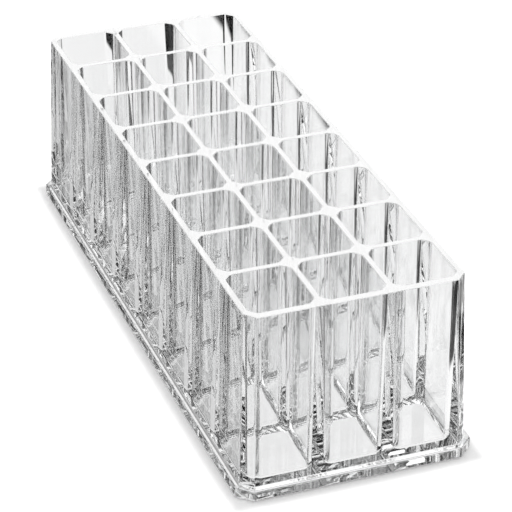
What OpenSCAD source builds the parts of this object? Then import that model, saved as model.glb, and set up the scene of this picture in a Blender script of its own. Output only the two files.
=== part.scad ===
// Clear acrylic perfume organizer: a moulded block of open-topped compartments,
// bonded into a flanged base plate that stands on small clear feet.
// X runs along the short front, Y towards the back, Z up; the feet stand on Z = 0.

/* [Block] */
// Width of the block across its short front, at the rim
body_w = 80.7; // [70:0.1:120]
// Length of the block from front to back, at the rim
body_l = 236.6; // [160:0.1:300]
// Height of the block, rim to underside
block_h = 68.5; // [40:0.5:110]
// 45 degree cut across the block's four upright corners
corner_cut = 4; // [2:0.1:5]
// Radius where an upright corner cut meets the walls
corner_r = 0.8; // [0.4:0.1:1.6]

/* [Compartments] */
// Compartments across the front
cols = 3; // [1:1:4]
// Compartments from front to back
rows = 8; // [1:1:10]
// 45 degree cut across each corner of a compartment
cell_cut = 2.8; // [2.4:0.1:4]
// Radius between a compartment's walls and its floor
floor_r = 2; // [1:0.1:2.6]

/* [Walls] */
// Thickness of a divider at the rim
divider_t = 2.2; // [1.6:0.1:3]
// Thickness of the long outer walls at the rim
side_wall_t = 2.3; // [1.8:0.1:4]
// Thickness of the short outer walls at the rim
end_wall_t = 3; // [1.8:0.1:4]
// How much each compartment wall leans in from the rim down to the floor
draft = 1.1; // [0.4:0.1:1.6]
// How much each outer wall leans out from the rim down to the underside
wall_flare = 1.9; // [0.4:0.1:2.4]
// Thickness of the compartment floors
cell_floor_t = 1.8; // [1.2:0.1:3]
// Width of the small bevel that eases the rim's edges
rim_ease = 0.3; // [0.2:0.05:0.6]

/* [Base plate] */
// How far the flange stands out from the foot of the walls all round
flange_proud = 2.1; // [1.8:0.1:6]
// Height of the flange's upright edge
flange_edge_h = 3.4; // [2.6:0.1:6]
// Size of the bevel along the flange's top edge
flange_ease = 0.4; // [0.2:0.05:0.6]
// Rise of the ledge from that bevel to the foot of the walls
ledge_rise = 0.7; // [0.3:0.05:1.2]
// Thickness of the plate under the block
plate_t = 2.2; // [1.4:0.1:2.6]
// Width of the flat lip round the recess that takes the block
lip_w = 0.6; // [0.5:0.05:1]
// Gap round the block in its recess, filled by the clear bond
seat_gap = 0.1; // [0.05:0.01:0.2]

/* [Feet] */
// Diameter of a foot
foot_d = 4.4; // [3:0.1:6]
// Thickness of a foot
foot_t = 1; // [0.6:0.1:2]
// Bevel round a foot's lower edge
foot_ease = 0.25; // [0.1:0.05:0.4]
// Distance from a foot's edge in to the flange's long side
foot_side_gap = 1.2; // [1:0.1:3]
// Distance from a foot's edge in to the flange's short side
foot_end_gap = 3.8; // [3.5:0.1:6]

/* [Hidden] */
// Depth by which every cut runs past the face that it opens
overrun = 1;
// Flats of an outline turn by this angle at each of its eight corners
turn = 45;
// Facets of the arc at an upright corner, of the arc at a floor, and of a foot
corner_facets = 3;
floor_facets = 3;
foot_fn = 48;
// Shortening of a 45 degree cut's legs for each length that the outline moves in
cut_loss_share = 2 - sqrt(2);
// Least share of a compartment's corner cut that is left at its floor
cut_left_share = 0.2;

// Spacing of the compartments, and half the size of a compartment's mouth
pitch_x = (body_w - 2 * side_wall_t + divider_t) / cols;
pitch_y = (body_l - 2 * end_wall_t + divider_t) / rows;
cell_hx = (pitch_x - divider_t) / 2;
cell_hy = (pitch_y - divider_t) / 2;
// Half the size of the flange
flange_hx = body_w / 2 + wall_flare + flange_proud;
flange_hy = body_l / 2 + wall_flare + flange_proud;

// Direction in the plan at an angle
function heading(angle) = [cos(angle), sin(angle)];

// Rectangle of half sizes hx and hy with its corners cut at 45 degrees, anticlockwise
function cut_rectangle(hx, hy, cut) = [
    [hx, hy - cut], [hx - cut, hy], [cut - hx, hy], [-hx, hy - cut],
    [-hx, cut - hy], [cut - hx, -hy], [hx - cut, -hy], [hx, cut - hy]];

// The same outline with each of its eight corners rounded to radius r
function eased_rectangle(hx, hy, cut, r) = [
    for (k = [0:7])
        let (corner = cut_rectangle(hx, hy, cut)[k],
            centre = corner - r / cos(turn / 2) * heading(turn * (k + 0.5)))
        for (i = [0:corner_facets])
            centre + r * heading(turn * (k + i / corner_facets))];

// The block's outline with its walls leaned out, then moved out by grow, or in where grow is negative
function block_outline(lean, grow) = eased_rectangle(
    body_w / 2 + lean + grow, body_l / 2 + lean + grow, corner_cut + cut_loss_share * grow, corner_r);

// A compartment's outline moved in by inset
function cell_outline(inset) = cut_rectangle(cell_hx - inset, cell_hy - inset,
    max(cell_cut - cut_loss_share * inset, cell_cut * cut_left_share));

// Solid skinned over outlines stacked from bottom to top, each at its own height
module loft(outlines, heights) {
    n = len(outlines[0]);
    top = len(outlines) - 1;
    polyhedron(
        points = [for (k = [0:top]) for (p = outlines[k]) [p.x, p.y, heights[k]]],
        faces = concat(
            [[for (i = [0:n - 1]) i]],
            [for (k = [0:top - 1]) for (i = [0:n - 1])
                [k * n + i, (k + 1) * n + i, (k + 1) * n + (i + 1) % n, k * n + (i + 1) % n]],
            [[for (i = [n - 1:-1:0]) top * n + i]]));
}

// Hollow of one compartment, measured from the underside of the block:
// floor radius, leaning walls, eased mouth and the overrun above the rim
module cell_hollow() {
    floor_angles = [for (i = [0:floor_facets]) 90 * i / floor_facets];
    loft(
        concat(
            [for (a = floor_angles) cell_outline(draft + floor_r * (1 - sin(a)))],
            [cell_outline(0), cell_outline(-rim_ease), cell_outline(-rim_ease)]),
        concat(
            [for (a = floor_angles) cell_floor_t + floor_r * (1 - cos(a))],
            [block_h - rim_ease, block_h, block_h + overrun]));
}

// Moulded block: outer walls that lean out towards the foot, an eased rim, and the compartments' hollows
module compartment_block() {
    color([0.93, 0.95, 0.96, 0.45])
    translate([0, 0, foot_t + plate_t])
    difference() {
        loft([block_outline(wall_flare, 0), block_outline(0, 0), block_outline(0, -rim_ease)],
            [0, block_h - rim_ease, block_h]);
        for (col = [0:cols - 1], row = [0:rows - 1])
            translate([(col - (cols - 1) / 2) * pitch_x, (row - (rows - 1) / 2) * pitch_y, 0])
            cell_hollow();
    }
}

// Base plate: upright flange edge, bevel, ledge rising to the walls, and the block's recess
module base_plate() {
    color([0.88, 0.91, 0.93, 0.5])
    translate([0, 0, foot_t])
    difference() {
        union() {
            linear_extrude(flange_edge_h) polygon(block_outline(wall_flare, flange_proud));
            translate([0, 0, flange_edge_h])
            loft([block_outline(wall_flare, flange_proud),
                    block_outline(wall_flare, flange_proud - flange_ease),
                    block_outline(wall_flare, lip_w)],
                [0, flange_ease, flange_ease + ledge_rise]);
        }
        translate([0, 0, plate_t])
        linear_extrude(flange_edge_h + flange_ease + ledge_rise + overrun)
        polygon(block_outline(wall_flare, seat_gap));
    }
}

// Clear stick-on foot under one corner of the flange
module foot(side, end) {
    foot_r = foot_d / 2;
    color([0.8, 0.84, 0.87, 0.7])
    translate([side * (flange_hx - foot_side_gap - foot_r),
        end * (flange_hy - foot_end_gap - foot_r), 0])
    rotate_extrude($fn = foot_fn)
    polygon([[0, 0], [foot_r - foot_ease, 0], [foot_r, foot_ease], [foot_r, foot_t], [0, foot_t]]);
}

compartment_block();
base_plate();
foot(-1, -1);  // foot_front_left
foot(1, -1);  // foot_front_right
foot(-1, 1);  // foot_back_left
foot(1, 1);  // foot_back_right
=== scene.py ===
import math

import bmesh
import bpy
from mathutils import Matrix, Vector


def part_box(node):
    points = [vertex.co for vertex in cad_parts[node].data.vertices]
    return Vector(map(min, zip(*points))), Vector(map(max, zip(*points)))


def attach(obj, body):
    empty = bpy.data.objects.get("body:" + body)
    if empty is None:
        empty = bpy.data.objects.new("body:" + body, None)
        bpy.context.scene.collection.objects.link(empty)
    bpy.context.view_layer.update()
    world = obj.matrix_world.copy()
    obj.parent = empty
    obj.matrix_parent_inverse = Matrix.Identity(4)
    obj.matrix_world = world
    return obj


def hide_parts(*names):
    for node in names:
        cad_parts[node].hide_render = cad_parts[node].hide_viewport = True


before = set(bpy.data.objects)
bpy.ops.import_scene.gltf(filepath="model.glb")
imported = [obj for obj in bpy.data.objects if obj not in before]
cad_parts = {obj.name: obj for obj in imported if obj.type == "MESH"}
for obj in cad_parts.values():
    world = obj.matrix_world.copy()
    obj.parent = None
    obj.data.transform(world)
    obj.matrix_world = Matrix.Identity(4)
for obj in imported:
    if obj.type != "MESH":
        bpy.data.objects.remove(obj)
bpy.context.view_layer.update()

MM = 0.001

# Sizes of the organizer, as it is built
COLUMNS, ROWS = 3, 8
FOOT_T = 1.0 * MM
BLOCK_LOW, BLOCK_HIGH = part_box("compartment_block")
BASE_LOW, BASE_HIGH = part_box("base_plate")
DIVIDER_T = 2.2 * MM
SIDE_WALL_T = 2.3 * MM
END_WALL_T = 3.0 * MM
DRAFT = 1.1 * MM
CELL_FLOOR_T = 1.8 * MM
CELL_CUT = 2.8 * MM
CELL_EDGE_R = 1.6 * MM
FLOOR_R = 2.0 * MM
RIM_EASE = 0.3 * MM
STEP_RISE = 0.03 * MM
CUT_OVERRUN = 2.0 * MM
CORNER_CUT = 4.0 * MM
CORNER_R = 0.8 * MM
WALL_FLARE = 1.9 * MM
FLANGE_PROUD = 2.1 * MM
FLANGE_EDGE_H = 3.4 * MM
FLANGE_EASE = 0.4 * MM
LEDGE_RISE = 0.7 * MM
PLATE_T = 2.2 * MM
LIP_W = 0.6 * MM
SEAT_GAP = 0.1 * MM
UNDERSIDE_EASE = 0.2 * MM
BOND_T = 0.05 * MM
FOOT_EASE = 0.25 * MM
FOOT_TOP_EASE = 0.1 * MM
FOOT_BOND_T = 0.03 * MM
SMOOTH_BELOW = math.radians(35)
FLAT_WEIGHT = 100
# An edge is upright where its rise is more than this share of its length
UPRIGHT_SHARE = 0.9
# Points this close in height count as level with each other
SAME_HEIGHT = 0.01 * MM
# Facets of each rounded edge
EDGE_FACETS, FLOOR_FACETS, UNDERSIDE_FACETS = 3, 6, 2
FOOT_FLATS, FOOT_EDGE_FACETS, FOOT_TOP_FACETS = 48, 4, 2
# Shortening of a 45 degree cut for each length that its outline moves in
CUT_LOSS_SHARE = 2 - math.sqrt(2)
RIM_X = BLOCK_HIGH.x - BLOCK_LOW.x - 2 * WALL_FLARE
RIM_Y = BLOCK_HIGH.y - BLOCK_LOW.y - 2 * WALL_FLARE
PITCH_X = (RIM_X - 2 * SIDE_WALL_T + DIVIDER_T) / COLUMNS
PITCH_Y = (RIM_Y - 2 * END_WALL_T + DIVIDER_T) / ROWS

# Light and stage. Through the acrylic and in reflections the table shows only a painted glow,
# in strips of white, grey and black emission that draw the dark lines in the walls. The strips
# run along the organizer: each one's left edge and its brightness, and the brightness left of the first.
GLOW_STRIPS = (
    (-87 * MM, 0.0),
    (-66 * MM, 0.12),
    (-44 * MM, 0.92),
    (46 * MM, 1.0),
    (84 * MM, 0.0),
    (132 * MM, 0.85),
)
GLOW_FAR_LEFT = 0.1
GLOW_STRIP_SOFT = 3 * MM
# A grey strip of painted glow across the front, and a black strip behind the right end
FRONT_STRIP_GLOW = 0.4
FRONT_STRIP_LEFT, FRONT_STRIP_RIGHT, FRONT_STRIP_BACK = -55 * MM, 45 * MM, -132 * MM
END_STRIP_GLOW = 0.0
END_STRIP_LEFT, END_STRIP_FRONT = 80 * MM, 122 * MM
# The table as the camera sees it is lifted to white, and less so near the base plate: a painted contact
# shadow, on top of the shadow that the lights cast there
FLOOR_SIZE = 6
TABLE_LIFT_FAR, TABLE_LIFT_PAINTED_SHADOW = 0.85, 0.2
PAINTED_SHADOW_REACH = 7 * MM
TABLE_WHITE, TABLE_BLACK = (0.9, 0.9, 0.9, 1), (0.0, 0.0, 0.0, 1)
TABLE_ROUGHNESS = 0.9
WHITE = (1, 1, 1, 1)
# Round soft lights: azimuth, elevation and half width in degrees, then brightness
SOFT_LIGHTS = (
    (66, 27, 11, 1.6),
    (141, 25, 12, 0.75),
    (-137, 25, 17, 0.7),
    (-46, 25, 15, 0.75),
    (-5, 25, 9, 0.5),
)
SOFT_EDGE = 1.5
CEILING_FROM, CEILING_TO = 38, 42
CEILING_WHITE = 1.2
ROOM_GREY = 0.0
# Surfaces that light is followed through; after more of them it counts as lost in the walls
LIGHT_BOUNCES = 20

# Finish of the moulded acrylic. Waves a few hundredths of a millimetre deep run up and down
# the walls, with fainter streaks between them; each is a scale and a height.
ACRYLIC_IOR = 1.49
LONG_WAVES = (45, 45, 9)
LONG_WAVE_HEIGHT = 0.07 * MM
STREAKS = (130, 130, 5)
STREAK_HEIGHT = 0.012 * MM
CLOUDS = (30, 30, 30)
HAZE, HAZE_FROM, HAZE_TO = 0.03, 0.6, 0.8
CLEAR_TINT, CLOUD_TINT = (1, 1, 1, 1), (0.99, 0.994, 0.996, 1)
FOOT_IOR = 1.45
FOOT_TINT, FOOT_CLOUD_TINT = (0.95, 0.96, 0.965, 1), (0.88, 0.9, 0.91, 1)
FOOT_GRAIN = (2500, 2500, 2500)
FOOT_GRAIN_HEIGHT = 0.01 * MM
FOOT_ROUGH_FROM, FOOT_ROUGH_TO = 0.1, 0.2
GRAIN_FROM, GRAIN_TO = 0.3, 0.7

# The photograph's view, from a fit of the rim grid and the base outline
VIEW_PLACE = (-275.3 * MM, -759.19 * MM, 486.86 * MM + FOOT_T)
VIEW_TURN = (60.1448, -0.1357, -20.3045)
VIEW_SENSOR, VIEW_LENS, VIEW_NEAR = 36, 170.58, 0.01


def deselect():
    """Leave object mode with nothing selected."""
    if bpy.context.object and bpy.context.object.mode != "OBJECT":
        bpy.ops.object.mode_set(mode="OBJECT")
    bpy.ops.object.select_all(action="DESELECT")


def activate(piece):
    """Make one piece the selected and active object."""
    deselect()
    piece.select_set(True)
    bpy.context.view_layer.objects.active = piece


def add_block(name, low, high):
    """A box between two corners, with its place in its mesh."""
    deselect()
    low, high = Vector(low), Vector(high)
    bpy.ops.mesh.primitive_cube_add(size=1, location=(low + high) / 2)
    piece = bpy.context.object
    piece.name = piece.data.name = name
    piece.scale = high - low
    bpy.ops.object.transform_apply(location=True, rotation=True, scale=True)
    return piece


def edit_edges(piece, wanted):
    """Enter edit mode with only the edges selected for which wanted(edge) is true."""
    activate(piece)
    bpy.ops.object.mode_set(mode="EDIT")
    bpy.ops.mesh.select_mode(type="EDGE")
    bpy.ops.mesh.select_all(action="DESELECT")
    mesh = bmesh.from_edit_mesh(piece.data)
    for edge in mesh.edges:
        edge.select = wanted(edge)
    mesh.select_flush_mode()
    bmesh.update_edit_mesh(piece.data)


def bevel_edges(piece, wanted, width, segments):
    """Bevel the wanted edges by a width measured along the faces beside them."""
    edit_edges(piece, wanted)
    bpy.ops.mesh.bevel(offset=width, segments=segments, affect="EDGES", clamp_overlap=False)
    bpy.ops.object.mode_set(mode="OBJECT")


def upright(edge):
    """Whether an edge runs mostly up and down."""
    span = edge.verts[1].co - edge.verts[0].co
    return abs(span.z) > UPRIGHT_SHARE * span.length


def level(edge):
    """Whether an edge runs level."""
    span = edge.verts[1].co - edge.verts[0].co
    return abs(span.z) < SAME_HEIGHT


def level_at(height):
    """A test for edges that lie level at a height."""
    return lambda edge: all(abs(v.co.z - height) < SAME_HEIGHT for v in edge.verts)


def arc_offset(radius, turn=45):
    """How far back from a corner an arc of a radius starts, where the outline turns by an angle."""
    return radius * math.tan(math.radians(turn) / 2)


def make_outer(name, low, high):
    """The block before it is hollowed: walls that lean out to the foot, cut corners, rounded edges."""
    outer = add_block(name, low, high)
    level_faces_at(outer, high[2])
    bpy.ops.transform.resize(
        value=(RIM_X / (high[0] - low[0]), RIM_Y / (high[1] - low[1]), 1), center_override=(0, 0, 0))
    bpy.ops.object.mode_set(mode="OBJECT")
    bevel_edges(outer, upright, CORNER_CUT, 1)
    bevel_edges(outer, upright, arc_offset(CORNER_R), EDGE_FACETS)
    bevel_edges(outer, level_at(high[2]), RIM_EASE, EDGE_FACETS)
    return outer


def make_hollow(rim_z, floor_z):
    """One compartment's hollow at the origin: leaning walls, rounded floor and mouth, cut corners."""
    half_x = (PITCH_X - DIVIDER_T) / 2
    half_y = (PITCH_Y - DIVIDER_T) / 2
    # Above the rim the hollow steps out, so that the bevel at the rim rounds the mouth outwards
    step = 2 * RIM_EASE
    deselect()
    bpy.ops.mesh.primitive_plane_add(size=1, location=(0, 0, rim_z))
    hollow = bpy.context.object
    hollow.name = "hollow"
    hollow.scale = (2 * half_x, 2 * half_y, 1)
    bpy.ops.object.transform_apply(location=True, rotation=True, scale=True)
    bpy.ops.object.mode_set(mode="EDIT")
    bpy.ops.mesh.select_all(action="SELECT")
    bpy.ops.mesh.bevel(offset=CELL_CUT, affect="VERTICES")
    bpy.ops.mesh.select_all(action="SELECT")
    bpy.ops.mesh.inset(thickness=DRAFT)
    bpy.ops.transform.translate(value=(0, 0, floor_z - rim_z))
    bpy.ops.object.mode_set(mode="OBJECT")
    edit_edges(hollow, level_at(rim_z))
    bpy.ops.mesh.extrude_region_move(TRANSFORM_OT_translate={"value": (0, 0, STEP_RISE)})
    bpy.ops.transform.resize(value=(1 + step / half_x, 1 + step / half_y, 1), center_override=(0, 0, 0))
    bpy.ops.mesh.extrude_region_move(TRANSFORM_OT_translate={"value": (0, 0, CUT_OVERRUN)})
    bpy.ops.mesh.edge_face_add()
    bpy.ops.mesh.select_all(action="SELECT")
    bpy.ops.mesh.normals_make_consistent(inside=False)
    bpy.ops.object.mode_set(mode="OBJECT")
    bevel_edges(hollow, level_at(floor_z), FLOOR_R, FLOOR_FACETS)
    bevel_edges(hollow, level_at(rim_z), RIM_EASE, EDGE_FACETS)
    bevel_edges(hollow, lambda edge: not level(edge), arc_offset(CELL_EDGE_R), EDGE_FACETS)
    return hollow


def boolean_cut(piece, cutter):
    """Cut one closed mesh out of another and delete the cutter."""
    activate(piece)
    cut = piece.modifiers.new("cut", "BOOLEAN")
    cut.operation = "DIFFERENCE"
    cut.solver = "EXACT"
    cut.object = cutter
    bpy.ops.object.modifier_apply(modifier=cut.name)
    bpy.data.objects.remove(cutter)


def level_faces_at(piece, height):
    """Enter edit mode with only the level faces at a height selected."""
    activate(piece)
    bpy.ops.object.mode_set(mode="EDIT")
    bpy.ops.mesh.select_mode(type="FACE")
    bpy.ops.mesh.select_all(action="DESELECT")
    mesh = bmesh.from_edit_mesh(piece.data)
    for face in mesh.faces:
        face.select = all(abs(v.co.z - height) < SAME_HEIGHT for v in face.verts)
    bmesh.update_edit_mesh(piece.data)


def polish(piece):
    """Smooth the rounded edges and keep the flat faces flat."""
    activate(piece)
    bpy.ops.object.shade_smooth_by_angle(angle=SMOOTH_BELOW)
    weigh = piece.modifiers.new("flats_kept", "WEIGHTED_NORMAL")
    weigh.weight = FLAT_WEIGHT
    weigh.keep_sharp = True
    bpy.ops.object.modifier_apply(modifier=weigh.name)


def compartment_block():
    """The moulded block of compartments."""
    underside = BLOCK_LOW + Vector((0, 0, BOND_T))
    block = make_outer("moulded_block", underside, BLOCK_HIGH)
    hollow = make_hollow(BLOCK_HIGH.z, BLOCK_LOW.z + CELL_FLOOR_T)
    hollows = []
    for row in range(ROWS):
        for column in range(COLUMNS):
            copy = hollow.copy()
            copy.data = hollow.data.copy()
            copy.location = ((column - (COLUMNS - 1) / 2) * PITCH_X, (row - (ROWS - 1) / 2) * PITCH_Y, 0)
            bpy.context.collection.objects.link(copy)
            hollows.append(copy)
    bpy.data.objects.remove(hollow)
    deselect()
    for copy in hollows:
        copy.select_set(True)
    bpy.context.view_layer.objects.active = hollows[0]
    bpy.ops.object.transform_apply(location=True, rotation=True, scale=True)
    bpy.ops.object.join()
    boolean_cut(block, bpy.context.object)
    polish(block)
    return block


def flanged_plate():
    """The base plate: upright edge, ledge rising to the walls, flat lip and the block's recess."""
    ledge_low = BASE_LOW.z + FLANGE_EDGE_H + FLANGE_EASE
    plate = add_block("flanged_plate", BASE_LOW, (BASE_HIGH.x, BASE_HIGH.y, ledge_low))
    bevel_edges(plate, upright, CORNER_CUT + CUT_LOSS_SHARE * FLANGE_PROUD, 1)
    level_faces_at(plate, ledge_low)
    bpy.ops.mesh.inset(thickness=FLANGE_PROUD - LIP_W)
    bpy.ops.transform.translate(value=(0, 0, LEDGE_RISE))
    bpy.ops.mesh.inset(thickness=LIP_W - SEAT_GAP)
    bpy.ops.mesh.extrude_region_move(
        TRANSFORM_OT_translate={"value": (0, 0, BASE_LOW.z + PLATE_T - ledge_low - LEDGE_RISE)})
    bpy.ops.object.mode_set(mode="OBJECT")
    bevel_edges(plate, upright, arc_offset(CORNER_R), EDGE_FACETS)
    bevel_edges(plate, level_at(ledge_low), FLANGE_EASE, EDGE_FACETS)
    bevel_edges(plate, level_at(BASE_LOW.z), UNDERSIDE_EASE, UNDERSIDE_FACETS)
    polish(plate)
    return plate


def stick_on_foot(node):
    """One clear foot: a disc with a rounded lower edge, and a small ease at its stuck face."""
    low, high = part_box(node)
    deselect()
    bpy.ops.mesh.primitive_cylinder_add(
        vertices=FOOT_FLATS, radius=(high.x - low.x) / 2, depth=high.z - low.z - FOOT_BOND_T,
        location=((low.x + high.x) / 2, (low.y + high.y) / 2, (low.z + high.z - FOOT_BOND_T) / 2))
    foot = bpy.context.object
    foot.name = foot.data.name = node.replace("foot", "clear_foot")
    bpy.ops.object.transform_apply(location=True, rotation=True, scale=True)
    bevel_edges(foot, level_at(low.z), FOOT_EASE, FOOT_EDGE_FACETS)
    bevel_edges(foot, level_at(high.z - FOOT_BOND_T), FOOT_TOP_EASE, FOOT_TOP_FACETS)
    polish(foot)
    return foot


def link(tree, source, target):
    """Join one socket to another."""
    tree.links.new(source, target)


def ray_switch(tree, names):
    """A value that is 1 for rays of the named kinds and 0 for the rest."""
    path = tree.nodes.new("ShaderNodeLightPath")
    total = path.outputs[names[0]]
    for name in names[1:]:
        total = math_node(tree, "MAXIMUM", total, path.outputs[name])
    return total


def math_node(tree, operation, first, second):
    """The result of a sum on two values or sockets."""
    node = tree.nodes.new("ShaderNodeMath")
    node.operation = operation
    feed(tree, first, node.inputs[0])
    feed(tree, second, node.inputs[1])
    return node.outputs[0]


def feed(tree, value, socket):
    """Set a socket to a number, or link another socket to it."""
    if isinstance(value, bpy.types.NodeSocket):
        link(tree, value, socket)
    else:
        socket.default_value = value


def soft_step(tree, value, start, end, low=0.0, high=1.0):
    """A smooth change from low to high while a value goes from start to end."""
    step = tree.nodes.new("ShaderNodeMapRange")
    step.interpolation_type = "SMOOTHSTEP"
    step.inputs["From Min"].default_value = start
    step.inputs["From Max"].default_value = end
    feed(tree, low, step.inputs["To Min"])
    feed(tree, high, step.inputs["To Max"])
    link(tree, value, step.inputs["Value"])
    return step.outputs[0]


def vector_node(tree, operation, first, second=None):
    """A vector node on a socket and, where it takes one, a fixed vector."""
    node = tree.nodes.new("ShaderNodeVectorMath")
    node.operation = operation
    link(tree, first, node.inputs[0])
    if second is not None:
        node.inputs[1].default_value = second
    return node


def noise(tree, place, scales, detail=2.0):
    """A cloudy value on a piece, stretched along each axis by its scale."""
    mapping = tree.nodes.new("ShaderNodeMapping")
    mapping.inputs["Scale"].default_value = scales
    link(tree, place.outputs["Object"], mapping.inputs["Vector"])
    cloud = tree.nodes.new("ShaderNodeTexNoise")
    cloud.inputs["Scale"].default_value = 1.0
    cloud.inputs["Detail"].default_value = detail
    link(tree, mapping.outputs["Vector"], cloud.inputs["Vector"])
    return cloud.outputs[0]


def bump(tree, height, depth, normal=None):
    """A bump of a real depth, on top of another where one is given."""
    node = tree.nodes.new("ShaderNodeBump")
    node.inputs["Distance"].default_value = depth
    link(tree, height, node.inputs["Height"])
    if normal is not None:
        link(tree, normal, node.inputs["Normal"])
    return node.outputs["Normal"]


def tint_between(tree, value, first, second):
    """A colour that goes from the first to the second with a value."""
    mix = tree.nodes.new("ShaderNodeMix")
    mix.data_type = "RGBA"
    mix.inputs["A"].default_value = first
    mix.inputs["B"].default_value = second
    link(tree, value, mix.inputs["Factor"])
    return mix.outputs["Result"]


def clear_material(name, ior):
    """A clear solid's shader, its node tree and the place on the piece."""
    material = bpy.data.materials.new(name)
    material.use_nodes = True
    tree = material.node_tree
    shader = tree.nodes["Principled BSDF"]
    shader.inputs["IOR"].default_value = ior
    shader.inputs["Transmission Weight"].default_value = 1.0
    return material, tree, shader, tree.nodes.new("ShaderNodeTexCoord")


def cloud_over(tree, shader, clouds):
    """A trace of haze and of tint where the clouds are thickest."""
    link(tree, soft_step(tree, clouds, HAZE_FROM, HAZE_TO, 0.0, HAZE), shader.inputs["Roughness"])
    link(tree, tint_between(tree, clouds, CLEAR_TINT, CLOUD_TINT), shader.inputs["Base Color"])


def moulded_acrylic(name):
    """Clear moulded acrylic: long waves and faint streaks up the walls, a trace of haze and tint."""
    material, tree, shader, place = clear_material(name, ACRYLIC_IOR)
    waves = bump(tree, noise(tree, place, LONG_WAVES, 0.0), LONG_WAVE_HEIGHT)
    streaked = bump(tree, noise(tree, place, STREAKS, 0.0), STREAK_HEIGHT, waves)
    link(tree, streaked, shader.inputs["Normal"])
    cloud_over(tree, shader, noise(tree, place, CLOUDS))
    return material


def polished_plate(name):
    """The base plate's acrylic: polished, with a slow unevenness and a trace of haze and tint."""
    material, tree, shader, place = clear_material(name, ACRYLIC_IOR)
    clouds = noise(tree, place, CLOUDS)
    link(tree, bump(tree, clouds, STREAK_HEIGHT), shader.inputs["Normal"])
    cloud_over(tree, shader, clouds)
    return material


def clear_rubber(name):
    """The feet's clear rubber: softer than the acrylic, finely grained and faintly grey."""
    material, tree, shader, place = clear_material(name, FOOT_IOR)
    grain = noise(tree, place, FOOT_GRAIN)
    link(tree, bump(tree, grain, FOOT_GRAIN_HEIGHT), shader.inputs["Normal"])
    dull = soft_step(tree, grain, GRAIN_FROM, GRAIN_TO, FOOT_ROUGH_FROM, FOOT_ROUGH_TO)
    link(tree, dull, shader.inputs["Roughness"])
    link(tree, tint_between(tree, grain, FOOT_TINT, FOOT_CLOUD_TINT), shader.inputs["Base Color"])
    return material


def past(tree, place, strip_edge, side=1):
    """1 on the far side of a strip's edge, or on the near side where side is -1, and 0 on the other."""
    return soft_step(tree, place, strip_edge - side * GLOW_STRIP_SOFT, strip_edge + side * GLOW_STRIP_SOFT)


def painted_table_glow(tree, across, along):
    """How bright the table's painted glow is at a place on it, strip by strip."""
    # Painted glow of the table, strip by strip across it
    glow = GLOW_FAR_LEFT
    for left, brightness in GLOW_STRIPS:
        glow = soft_step(tree, across, left - GLOW_STRIP_SOFT, left + GLOW_STRIP_SOFT, glow, brightness)
    on_front = math_node(
        tree, "MULTIPLY", past(tree, across, FRONT_STRIP_LEFT), past(tree, across, FRONT_STRIP_RIGHT, -1))
    on_front = math_node(tree, "MULTIPLY", on_front, past(tree, along, FRONT_STRIP_BACK, -1))
    on_end = math_node(
        tree, "MULTIPLY", past(tree, across, END_STRIP_LEFT), past(tree, along, END_STRIP_FRONT))
    # The front strip's painted glow, then the black strip at the right end
    glow = soft_step(tree, on_front, 0, 1, glow, FRONT_STRIP_GLOW)
    return soft_step(tree, on_end, 0, 1, glow, END_STRIP_GLOW)


def table_lift_with_painted_shadow(tree, place):
    """How far the table is lifted to white, by its distance from the base plate: less close to it, which
    paints a contact shadow.
    """
    outward = vector_node(tree, "ABSOLUTE", place).outputs["Vector"]
    outward = vector_node(tree, "SUBTRACT", outward, (BASE_HIGH.x, BASE_HIGH.y, 0)).outputs["Vector"]
    outward = vector_node(tree, "MAXIMUM", outward, (0, 0, 0)).outputs["Vector"]
    from_base = vector_node(tree, "LENGTH", outward).outputs["Value"]
    # A painted contact shadow: the lift falls off towards the base plate
    return soft_step(tree, from_base, 0, PAINTED_SHADOW_REACH, TABLE_LIFT_PAINTED_SHADOW, TABLE_LIFT_FAR)


def white_floor():
    """The table: white to the camera but for a painted contact shadow at the base, and through the
    acrylic and in reflections a painted glow in white, grey and black strips.
    """
    deselect()
    bpy.ops.mesh.primitive_plane_add(size=FLOOR_SIZE, location=(0, 0, 0))
    floor = bpy.context.object
    floor.name = "floor"
    paint = bpy.data.materials.new("floor_white")
    paint.use_nodes = True
    tree = paint.node_tree
    shader = tree.nodes["Principled BSDF"]
    shader.inputs["Roughness"].default_value = TABLE_ROUGHNESS
    shader.inputs["Specular IOR Level"].default_value = 0.0
    shader.inputs["Emission Color"].default_value = WHITE
    place = tree.nodes.new("ShaderNodeTexCoord").outputs["Object"]
    split = tree.nodes.new("ShaderNodeSeparateXYZ")
    link(tree, place, split.inputs[0])
    inside = ray_switch(tree, ["Is Transmission Ray", "Is Glossy Ray"])
    # Through the acrylic and in reflections the table shows only its painted glow
    glow = math_node(tree, "MULTIPLY", inside, painted_table_glow(tree, split.outputs["X"], split.outputs["Y"]))
    # To the camera the table is lifted to white, less at the base: a painted contact shadow
    seen = math_node(tree, "MULTIPLY", ray_switch(tree, ["Is Camera Ray"]), table_lift_with_painted_shadow(tree, place))
    lift = math_node(tree, "ADD", glow, seen)
    link(tree, lift, shader.inputs["Emission Strength"])
    link(tree, tint_between(tree, inside, TABLE_WHITE, TABLE_BLACK), shader.inputs["Base Color"])
    floor.data.materials.append(paint)


def towards(azimuth, elevation):
    """The direction at an azimuth from +X and an elevation, in degrees."""
    around, up = math.radians(azimuth), math.radians(elevation)
    return (math.cos(up) * math.cos(around), math.cos(up) * math.sin(around), math.sin(up))


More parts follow.
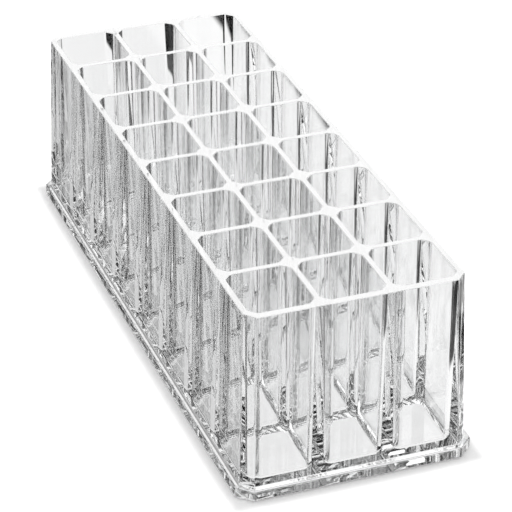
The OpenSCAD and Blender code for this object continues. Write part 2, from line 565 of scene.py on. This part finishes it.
def studio_world():
    """A black room with a white ceiling and a few round soft lights, white to the camera."""
    world = bpy.data.worlds.new("studio")
    bpy.context.scene.world = world
    world.use_nodes = True
    tree = world.node_tree
    place = tree.nodes.new("ShaderNodeTexCoord")
    split = tree.nodes.new("ShaderNodeSeparateXYZ")
    link(tree, place.outputs["Generated"], split.inputs[0])
    start, end = (math.sin(math.radians(angle)) for angle in (CEILING_FROM, CEILING_TO))
    light = soft_step(tree, split.outputs["Z"], start, end, ROOM_GREY, CEILING_WHITE)
    for azimuth, elevation, half_width, strength in SOFT_LIGHTS:
        facing = vector_node(tree, "DOT_PRODUCT", place.outputs["Generated"], towards(azimuth, elevation))
        outer, inner = (math.cos(math.radians(half_width + edge)) for edge in (SOFT_EDGE, -SOFT_EDGE))
        spot = soft_step(tree, facing.outputs["Value"], outer, inner, 0.0, strength)
        light = math_node(tree, "MAXIMUM", light, spot)
    lit = tree.nodes["Background"]
    link(tree, light, lit.inputs["Strength"])
    lit.inputs["Color"].default_value = WHITE
    seen = tree.nodes.new("ShaderNodeBackground")
    seen.inputs["Color"].default_value = WHITE
    mix = tree.nodes.new("ShaderNodeMixShader")
    link(tree, ray_switch(tree, ["Is Camera Ray"]), mix.inputs[0])
    link(tree, lit.outputs[0], mix.inputs[1])
    link(tree, seen.outputs[0], mix.inputs[2])
    link(tree, mix.outputs[0], tree.nodes["World Output"].inputs[0])


def camera():
    """The camera at the photograph's view."""
    deselect()
    bpy.ops.object.camera_add(
        location=VIEW_PLACE, rotation=tuple(math.radians(angle) for angle in VIEW_TURN))
    view = bpy.context.object
    view.data.sensor_width = VIEW_SENSOR
    view.data.lens = VIEW_LENS
    view.data.clip_start = VIEW_NEAR
    bpy.context.scene.camera = view


def clear_bond():
    """The solvent bond between block and plate: light goes straight through it."""
    material = bpy.data.materials.new("clear_bond")
    material.use_nodes = True
    tree = material.node_tree
    tree.nodes.remove(tree.nodes["Principled BSDF"])
    through = tree.nodes.new("ShaderNodeBsdfTransparent")
    link(tree, through.outputs[0], tree.nodes["Material Output"].inputs["Surface"])
    return material


def bonded_at(piece, height, material):
    """Give the level faces at a height the bond's material."""
    piece.data.materials.append(material)
    for face in piece.data.polygons:
        if all(abs(piece.data.vertices[i].co.z - height) < SAME_HEIGHT for i in face.vertices):
            face.material_index = 1


def finish_piece(piece, material, node):
    """Give a piece its material, hang it on the root body and hide the node of the part that it replaces.
    """
    piece.data.materials.clear()
    piece.data.materials.append(material)
    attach(piece, "root")
    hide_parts(node)


bond = clear_bond()
block = compartment_block()
finish_piece(block, moulded_acrylic("moulded_acrylic"), "compartment_block")
bonded_at(block, BLOCK_LOW.z + BOND_T, bond)
plate = flanged_plate()
finish_piece(plate, polished_plate("plate_acrylic"), "base_plate")
bonded_at(plate, BASE_LOW.z + PLATE_T, bond)
rubber = clear_rubber("clear_rubber")
for foot_node in ("foot_front_left", "foot_front_right", "foot_back_left", "foot_back_right"):
    finish_piece(stick_on_foot(foot_node), rubber, foot_node)
white_floor()
studio_world()
camera()

scene = bpy.context.scene
scene.view_settings.view_transform = "Standard"
scene.cycles.max_bounces = LIGHT_BOUNCES
scene.cycles.transmission_bounces = LIGHT_BOUNCES
scene.cycles.glossy_bounces = LIGHT_BOUNCES
scene.cycles.transparent_max_bounces = LIGHT_BOUNCES
